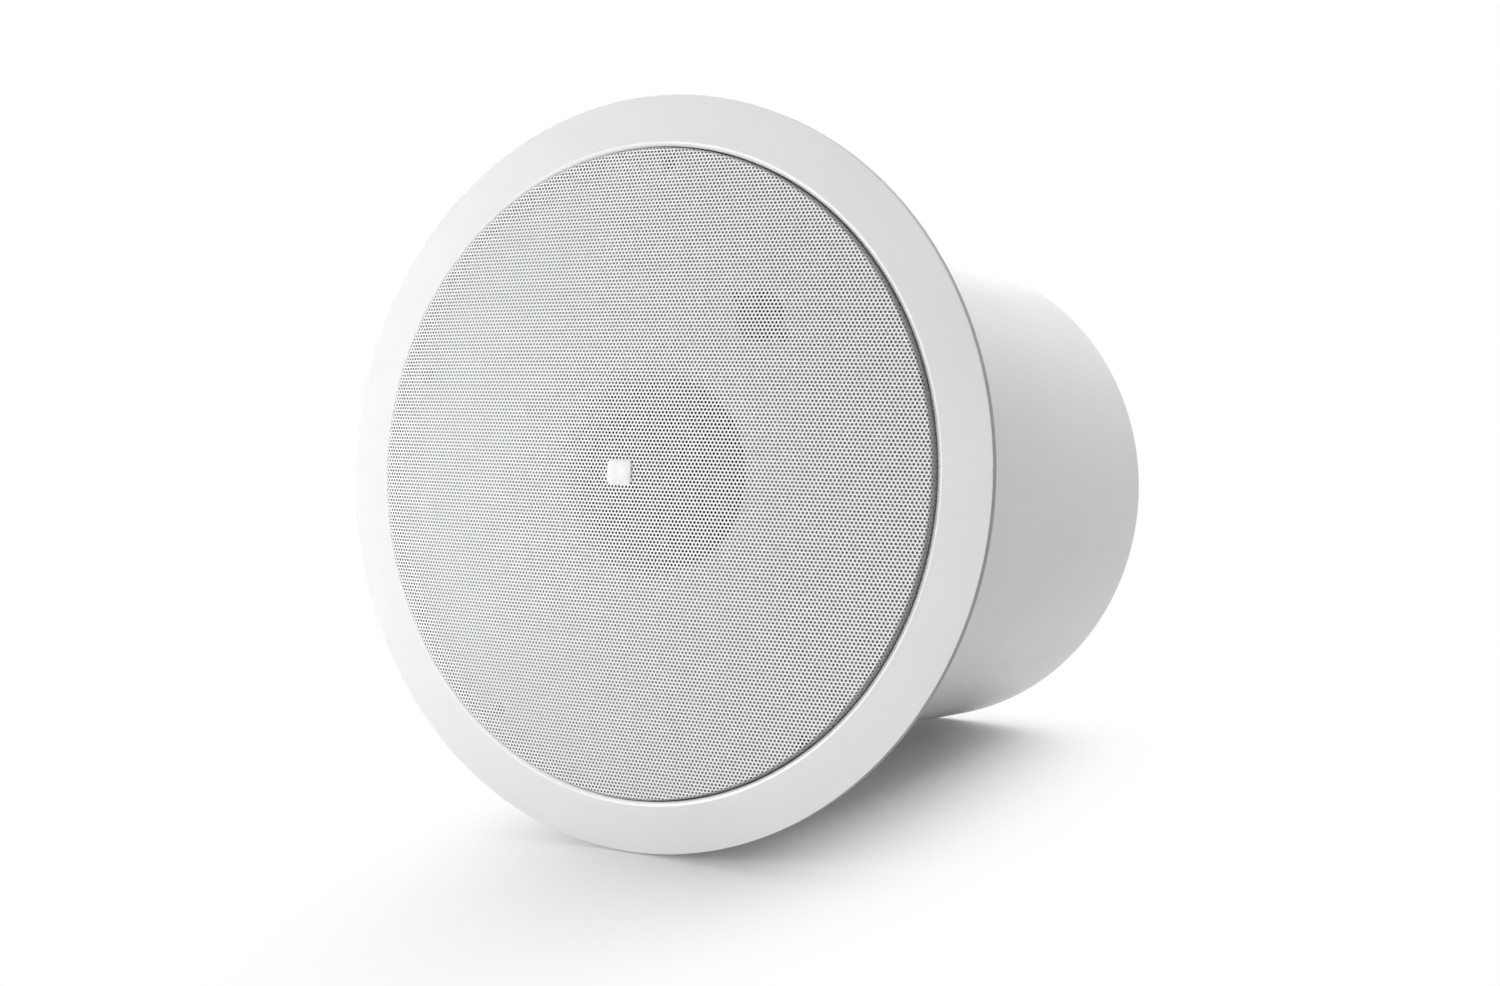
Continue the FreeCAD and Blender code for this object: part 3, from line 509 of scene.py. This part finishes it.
knob_low, knob_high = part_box("tap_knob")
knob_middle = (knob_low + knob_high) / 2
KNOB_DISC = 3.0 * MM
KNOB_BAR = 5.0 * MM
KNOB_BAR_HALF = (2.3 * MM, 11.5 * MM)
KNOB_ROUND = 0.5 * MM
KNOB_FLUTES = 30
FLUTE_SHARE = 0.03
POINTER_ROUND = 1.0 * MM
STEM_RADIUS = 3.0 * MM
knob_radius = (knob_high.x - knob_low.x) / 2
knob_back = knob_low.z + KNOB_DISC + KNOB_BAR


def knob_rings(steps=180, face_rings=50):
    """The knob with its back at height 0 and its stem below. The face stands at the disc's height, and over
    the pointer it rises as a quarter of an ellipse over the first millimetre from the pointer's outline. The
    edge goes in and out as a cosine of the angle, once for each flute."""
    angle = 2 * math.pi * np.arange(steps) / steps
    out = np.linspace(0, knob_radius - KNOB_ROUND, face_rings)[:, None]
    across, up = out * np.cos(angle), out * np.sin(angle)
    inside = np.minimum(KNOB_BAR_HALF[0] - np.abs(across), KNOB_BAR_HALF[1] - np.abs(up))
    rise = np.sqrt(1 - (1 - np.clip(inside / POINTER_ROUND, 0, 1)) ** 2)
    face = np.stack(np.broadcast_arrays(across, up, KNOB_DISC + KNOB_BAR * rise), -1)
    flute = 1 - FLUTE_SHARE * (1 - np.cos(KNOB_FLUTES * angle)) / 2
    edge = turned(np.array([
        (knob_radius - 0.3 * KNOB_ROUND, KNOB_DISC - 0.2 * KNOB_ROUND),
        (knob_radius, KNOB_DISC - KNOB_ROUND),
        (knob_radius, 0),
    ]), steps) * np.stack([flute, flute, np.ones(steps)], -1)
    stem_end = knob_back - knob_high.z
    back = turned(np.array([(STEM_RADIUS, 0), (STEM_RADIUS, stem_end), (0, stem_end)]), steps)
    return np.concatenate([face, edge, back])


knob_seat = (knob_middle.x, knob_middle.y, knob_back)
pointer_knob = skin("pointer_knob", placed(knob_rings(), knob_seat, (0, 0, -1)), black_moulding)
seat(pointer_knob, "tap_knob", "black_plastic", "tap_knob")
BAFFLE_FACE = 6.0 * MM
SWITCH_SCREW_SPACE = 17.5 * MM
SWITCH_SCREW_HEAD = (2.8 * MM, 1.7 * MM)
beside = Vector((-knob_middle.y, knob_middle.x, 0)).normalized() * SWITCH_SCREW_SPACE
switch_screw_places = [
    (Vector((knob_middle.x, knob_middle.y, BAFFLE_FACE)) + sign * beside, (0, 0, -1)) for sign in (-1, 1)
]
switch_screws = pan_screws("switch_screws", *SWITCH_SCREW_HEAD, switch_screw_places, black_enamel)
seat(switch_screws, "housing", "black_steel")


# The grille is perforated steel sheet, pressed into a low dome with a rolled edge and a skirt, and powder
# coated white. Over its outer roll, skirt and hem it fades to a mid grey, a painted shade for the dark gap at
# the bezel's lip. It is made in six like sectors, because the staggered holes look the same every 60 degrees.

# painted shade: the white coat fades to grey between these radii, on the grille's edge
SKIRT_SHADE_RADII = (164.6 * MM, 165.5 * MM)
COAT = (0.90, 0.90, 0.89)
SKIRT_SHADE = (0.38, 0.38, 0.385)
powder_coat_and_skirt_shade = finish("powder_coat_and_skirt_shade", COAT, 0.5)
blotch(powder_coat_and_skirt_shade, away(powder_coat_and_skirt_shade, (1, 1, 0), *SKIRT_SHADE_RADII), COAT, SKIRT_SHADE, 0, 1)
polish(powder_coat_and_skirt_shade, pattern(powder_coat_and_skirt_shade, "Noise", 80, Detail=3.0), 0.58, 0.70)
relief(powder_coat_and_skirt_shade, pattern(powder_coat_and_skirt_shade, "Noise", 1900, Detail=2.0), 0.03 * MM, 0.5)

grille_low, grille_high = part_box("grille")
HOLE_PITCH = 2.073 * MM
HOLE_ACROSS = 1.38 * MM
GRILLE_SHEET = 0.35 * MM
HEM = 0.7 * MM
HEM_HEIGHT = 3.0 * MM
HEM_ROUND = 0.4 * MM
DOME_EDGE = 162.9 * MM
DOME_SAG = 15.2 * MM
DOME_POINTS = 200
ROLL = 2.0 * MM
ROLL_POINTS = 24
SKIRT_POINTS = 6
SIDES = 6
BADGE_PATCH = (7.2 * MM, 6.2 * MM)


def grille_section():
    """The sheet's outer line from its crown to its foot: a ball's arc, a roll tangent to it, and the skirt.
    Gives for each point how far it lies from the middle in the flat sheet, then its radius and height. On the
    dome the flat distance is the radius itself, and past it the length along the line."""
    ball = (DOME_EDGE**2 + DOME_SAG**2) / DOME_SAG / 2
    middle = grille_low.z + ball
    skirt = grille_high.x - HEM
    roll_across = skirt - ROLL
    roll_up = middle - math.sqrt((ball - ROLL) ** 2 - roll_across**2)
    lean = math.asin(roll_across / (ball - ROLL))
    radius = np.linspace(0, ball * math.sin(lean), DOME_POINTS)
    height = middle - np.sqrt(ball**2 - radius**2)
    angle = np.linspace(lean, math.pi / 2, ROLL_POINTS)[1:]
    foot = grille_high.z - HEM_HEIGHT / 2
    skirt_up = np.linspace(roll_up, foot, SKIRT_POINTS)[1:]
    radius = np.concatenate([radius, roll_across + ROLL * np.sin(angle), np.full_like(skirt_up, skirt)])
    height = np.concatenate([height, roll_up - ROLL * np.cos(angle), skirt_up])
    steps = np.hypot(np.diff(radius), np.diff(height))
    steps[:DOME_POINTS - 1] = np.diff(radius)[:DOME_POINTS - 1]
    return np.concatenate([[0], np.cumsum(steps)]), radius, height


def punched_sheet(flat_edge):
    """The flat sheet as the corners of its six-sided holes, (cells, 6, 2), and its faces as rows of corner
    numbers. Holes stand in staggered rows with their sides facing one another, so a strip joins each pair of
    sides and a triangle fills the room between each three holes. A cell under the badge is filled."""
    slant = 1.2  # the rows lean, so the block of cells is wider than the sheet
    reach = math.ceil(flat_edge / HOLE_PITCH * slant)
    count = np.arange(-reach, reach + 1)
    row, column = np.meshgrid(count, count, indexing="ij")
    across = (column + row / 2) * HOLE_PITCH
    up = row * HOLE_PITCH * math.sqrt(3) / 2
    inside = np.hypot(across, up) < flat_edge - HOLE_PITCH
    number = np.full(inside.shape, -1)
    number[inside] = np.arange(inside.sum())
    corner = np.radians(30 + 360 / SIDES * np.arange(SIDES))
    # a six-sided hole has the open area of the round one
    size = HOLE_ACROSS / 2 * math.sqrt(2 * math.pi / 3 / math.sqrt(3))
    middles = np.stack([across[inside], up[inside]], 1)
    corners = middles[:, None] + size * np.stack([np.cos(corner), np.sin(corner)], 1)[None]

    def beside(rows, columns):
        """The cell that lies so many rows and columns on from each cell, or -1 where there is none."""
        return np.roll(number, (-rows, -columns), (0, 1))[inside]

    here = number[inside]
    right, above, left_above = beside(0, 1), beside(1, 0), beside(1, -1)

    def faces(*corner_of):
        """One face for each cell, through corners given as (cells, corner), where all its cells are there."""
        cells = np.stack([cell for cell, _ in corner_of], 1)
        places = np.array([place for _, place in corner_of])
        return (cells * SIDES + places)[(cells >= 0).all(1)]

    strips = np.concatenate([
        faces((here, 5), (right, 3), (right, 2), (here, 0)),
        faces((here, 0), (above, 4), (above, 3), (here, 1)),
        faces((here, 1), (left_above, 5), (left_above, 4), (here, 2)),
    ])
    between = np.concatenate([
        faces((here, 0), (right, 2), (above, 4)),
        faces((here, 1), (above, 3), (left_above, 5)),
    ])
    under_badge = (np.abs(middles) < BADGE_PATCH).all(1)
    plain = (here[under_badge, None] * SIDES + np.arange(SIDES)).astype(int)
    return corners.reshape(-1, 2), [strips, between, plain]


flat, section_radius, section_height = grille_section()
corners, sheet_faces = punched_sheet(flat[-1])
distance = np.hypot(*corners.T)
radius = np.interp(distance, flat, section_radius)
bearing = np.arctan2(corners[:, 1], corners[:, 0])
points = np.stack(
    [radius * np.cos(bearing), radius * np.sin(bearing), np.interp(distance, flat, section_height)], 1
)
cell_middle = corners.reshape(-1, SIDES, 2).mean(1)
cell_bearing = np.degrees(np.arctan2(cell_middle[:, 1], cell_middle[:, 0]))
sector_of = (cell_bearing // (360 / SIDES) % SIDES).astype(int)
for sector in range(SIDES):
    # the front faces -Z, so each face is turned round
    rows = [part[sector_of[part[:, 0] // SIDES] == sector][:, ::-1] for part in sheet_faces]
    used, renumbered = np.unique(np.concatenate([part.ravel() for part in rows]), return_inverse=True)
    ends = np.cumsum([part.size for part in rows])[:-1]
    lists = [part.reshape(like.shape).tolist() for part, like in zip(np.split(renumbered, ends), rows)]
    mesh = bpy.data.meshes.new(f"grille_sector_{sector + 1}")
    mesh.from_pydata(points[used], [], sum(lists, []))
    mesh.materials.append(powder_coat_and_skirt_shade)
    piece = bpy.data.objects.new(mesh.name, mesh)
    bpy.context.collection.objects.link(piece)
    sheet = piece.modifiers.new("sheet", "SOLIDIFY")
    sheet.thickness = GRILLE_SHEET
    sheet.offset = -1
    seat(piece, "grille", "grille_paint", "grille")

# the skirt's foot is folded back on itself in a plain hem
hem_inner = grille_high.x - 2 * HEM
hem_low = grille_high.z - HEM_HEIGHT
hem_line = rounded([
    (hem_inner, grille_high.z - HEM),
    (hem_inner, hem_low),
    (grille_high.x, hem_low),
    (grille_high.x, grille_high.z),
    (hem_inner, grille_high.z),
    (hem_inner, grille_high.z - HEM),
], [HEM_ROUND] * 4)
grille_hem = skin("grille_hem", turned(hem_line, ROUND_STEPS), powder_coat_and_skirt_shade, closed=True)
seat(grille_hem, "grille", "grille_paint", "grille")


# A small bare plate with round corners, pressed from thin metal with a satin face, is bonded to the middle of
# the grille.

# the edge's round, as how far each ring lies inside the outline and behind the face
BADGE_ROUND = ((0, 0.3 * MM), (0.1 * MM, 0.1 * MM), (0.35 * MM, 0))
BADGE_FLAT = 3.0 * MM
BADGE_CORNER = 10
badge_low, badge_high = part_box("grille_badge")
badge_satin = finish("badge_satin", (0.80, 0.80, 0.80), 0.42)
blotch(badge_satin, pattern(badge_satin, "Noise", 300, Detail=3.0), (0.78, 0.78, 0.78), (0.82, 0.82, 0.82))
polish(badge_satin, pattern(badge_satin, "Noise", 500, (1, 0.1, 1), Detail=3.0), 0.36, 0.5)
relief(badge_satin, pattern(badge_satin, "Noise", 2500), 0.01 * MM, 0.4)


def badge_rings(steps=96):
    """Rings about the Z axis from the plate's foot over its round edge to the middle of its face. A ring is a
    rounded oblong, on which the tenth powers of both shares of the half sizes add up to one, drawn in by an
    inset."""
    angle = 2 * math.pi * (np.arange(steps) + 0.5) / steps
    shape = np.stack([np.cos(angle), np.sin(angle)], -1)
    shape /= ((np.abs(shape) ** BADGE_CORNER).sum(-1, keepdims=True)) ** (1 / BADGE_CORNER)
    inset, height = np.array([
        (0, badge_high.z),
        *((inset, badge_low.z + behind) for inset, behind in BADGE_ROUND),
        (BADGE_FLAT, badge_low.z),
    ]).T[:, :, None, None]
    rings = shape * (np.array([badge_high.x, badge_high.y]) - inset)
    rings = np.concatenate([rings, np.broadcast_to(height, (*rings.shape[:2], 1))], -1)
    middles = [np.broadcast_to((0, 0, level), rings[:1].shape) for level in (badge_high.z, badge_low.z)]
    return np.concatenate([middles[0], rings, middles[1]])


seat(skin("badge_plate", badge_rings(), badge_satin), "grille", "badge_paint", "grille_badge")


# The studio: a white floor that the unit lies on, on its bezel's rim and its can's back edge, under soft
# lamps, with the camera where the photograph was taken from.

CAN_REST = 3 * MM
front_foot = Vector((0, baffle_low.y, 0))
rear_foot = Vector((0, can_low.y, can_high.z - CAN_REST))
along = (rear_foot - front_foot).normalized()
floor_up = Vector((1, 0, 0)).cross(along) * -1
FLOOR_REACH = 12.0
side = Vector((1, 0, 0)) * FLOOR_REACH
mesh = bpy.data.meshes.new("floor")
floor_corners = [
    front_foot + left * side + back * along * FLOOR_REACH
    for left, back in ((-1, -1), (-1, 1), (1, 1), (1, -1))
]
mesh.from_pydata([tuple(corner) for corner in floor_corners], [], [(0, 1, 2, 3)])
if mesh.polygons[0].normal.dot(floor_up) < 0:
    mesh.flip_normals()
floor = bpy.data.objects.new("floor", mesh)
bpy.context.collection.objects.link(floor)


def looked_at(tree):
    """1 on rays that come from the camera, from a mirror or through glass, and 0 on rays that carry light."""
    path = tree.nodes.new("ShaderNodeLightPath")
    value = path.outputs["Is Camera Ray"]
    for name in ("Is Glossy Ray", "Is Transmission Ray"):
        either = tree.nodes.new("ShaderNodeMath")
        either.operation = "MAXIMUM"
        tree.links.new(value, either.inputs[0])
        tree.links.new(path.outputs[name], either.inputs[1])
        value = either.outputs["Value"]
    return value


FLOOR_WHITE = (0.92, 0.92, 0.92, 1)
floor_white = bpy.data.materials.new("floor_white")
floor_white.use_nodes = True
tree = floor_white.node_tree
tree.nodes.clear()
output = tree.nodes.new("ShaderNodeOutputMaterial")
lit = tree.nodes.new("ShaderNodeBsdfDiffuse")
lit.inputs["Color"].default_value = FLOOR_WHITE
far = tree.nodes.new("ShaderNodeEmission")
# the floor turns to plain white away from the line that the unit stands on, sooner sideways than along it,
# and later on the side away from the key lamp
SHADOW_STRETCH = 3.0
SHADOW_NEAR = 20 * MM
SHADOW_FAR = 170 * MM
SHADOW_SHIFT = 30 * MM
place = tree.nodes.new("ShaderNodeTexCoord")
stretch = tree.nodes.new("ShaderNodeMapping")
stretch.inputs["Scale"].default_value = (1, 0, 1 / SHADOW_STRETCH)
stretch.inputs["Location"].default_value = (
    SHADOW_SHIFT, 0, -(front_foot + rear_foot).z / 2 / SHADOW_STRETCH)
distance_out = tree.nodes.new("ShaderNodeVectorMath")
distance_out.operation = "LENGTH"
fade = tree.nodes.new("ShaderNodeMapRange")
fade.interpolation_type = "SMOOTHSTEP"
fade.inputs["From Min"].default_value = SHADOW_NEAR
fade.inputs["From Max"].default_value = SHADOW_FAR
backdrop = tree.nodes.new("ShaderNodeMath")
backdrop.operation = "MULTIPLY"
nearby = tree.nodes.new("ShaderNodeMixShader")
clear = tree.nodes.new("ShaderNodeBsdfTransparent")
under = tree.nodes.new("ShaderNodeNewGeometry")
whole = tree.nodes.new("ShaderNodeMixShader")
tree.links.new(place.outputs["Object"], stretch.inputs["Vector"])
tree.links.new(stretch.outputs["Vector"], distance_out.inputs[0])
tree.links.new(distance_out.outputs["Value"], fade.inputs["Value"])
tree.links.new(fade.outputs["Result"], backdrop.inputs[0])
tree.links.new(looked_at(tree), backdrop.inputs[1])
tree.links.new(backdrop.outputs["Value"], nearby.inputs["Fac"])
tree.links.new(lit.outputs["BSDF"], nearby.inputs[1])
tree.links.new(far.outputs["Emission"], nearby.inputs[2])
tree.links.new(under.outputs["Backfacing"], whole.inputs["Fac"])
tree.links.new(nearby.outputs["Shader"], whole.inputs[1])
tree.links.new(clear.outputs["BSDF"], whole.inputs[2])
tree.links.new(whole.outputs["Shader"], output.inputs["Surface"])
mesh.materials.append(floor_white)


def lamp(name, toward, distance, width, power):
    """A square soft lamp that stands off from the unit's middle in one direction and faces it."""
    light = bpy.data.lights.new(name, "AREA")
    light.size = width
    light.energy = power
    stand = bpy.data.objects.new(name, light)
    middle = (solid_box[0] + solid_box[1]) / 2
    way = Vector(toward).normalized()
    stand.matrix_world = Matrix.LocRotScale(middle + way * distance, way.to_track_quat("Z", "Y"), None)
    bpy.context.collection.objects.link(stand)


lamp("key", (0.7, 0.08, -0.75), 2.0, 0.8, 20.3)
lamp("overhead", (-0.15, 1.0, 0.35), 2.0, 2.3, 55)
lamp("front", (-0.1, 0.1, -1.0), 2.4, 1.2, 9.6)
lamp("back", (0.7, 0.4, 1.0), 2.4, 1.6, 4)

AMBIENT = 0.18
world = bpy.data.worlds.new("studio")
bpy.context.scene.world = world
world.use_nodes = True
tree = world.node_tree
sky = tree.nodes["Background"]
level = tree.nodes.new("ShaderNodeMapRange")
level.inputs["To Min"].default_value = AMBIENT
level.inputs["To Max"].default_value = 1.0
sky.inputs["Color"].default_value = (1, 1, 1, 1)
tree.links.new(looked_at(tree), level.inputs["Value"])
tree.links.new(level.outputs["Result"], sky.inputs["Strength"])

# the camera stands where the bezel's and the can's circles look as they do in the photograph, turned about X,
# Y and Z by these degrees
CAMERA_PLACE = (-0.57406, -0.00739, -0.86749)
CAMERA_TURN = (1.4187, -149.4298, -2.8214)
camera = bpy.data.cameras.new("camera")
camera.lens = 48.62
camera.sensor_width = 36.0
viewer = bpy.data.objects.new("camera", camera)
camera_turn = Euler([math.radians(degrees) for degrees in CAMERA_TURN])
viewer.matrix_world = Matrix.LocRotScale(Vector(CAMERA_PLACE), camera_turn, None)
bpy.context.collection.objects.link(viewer)
bpy.context.scene.camera = viewer
bpy.context.scene.view_settings.view_transform = "Standard"
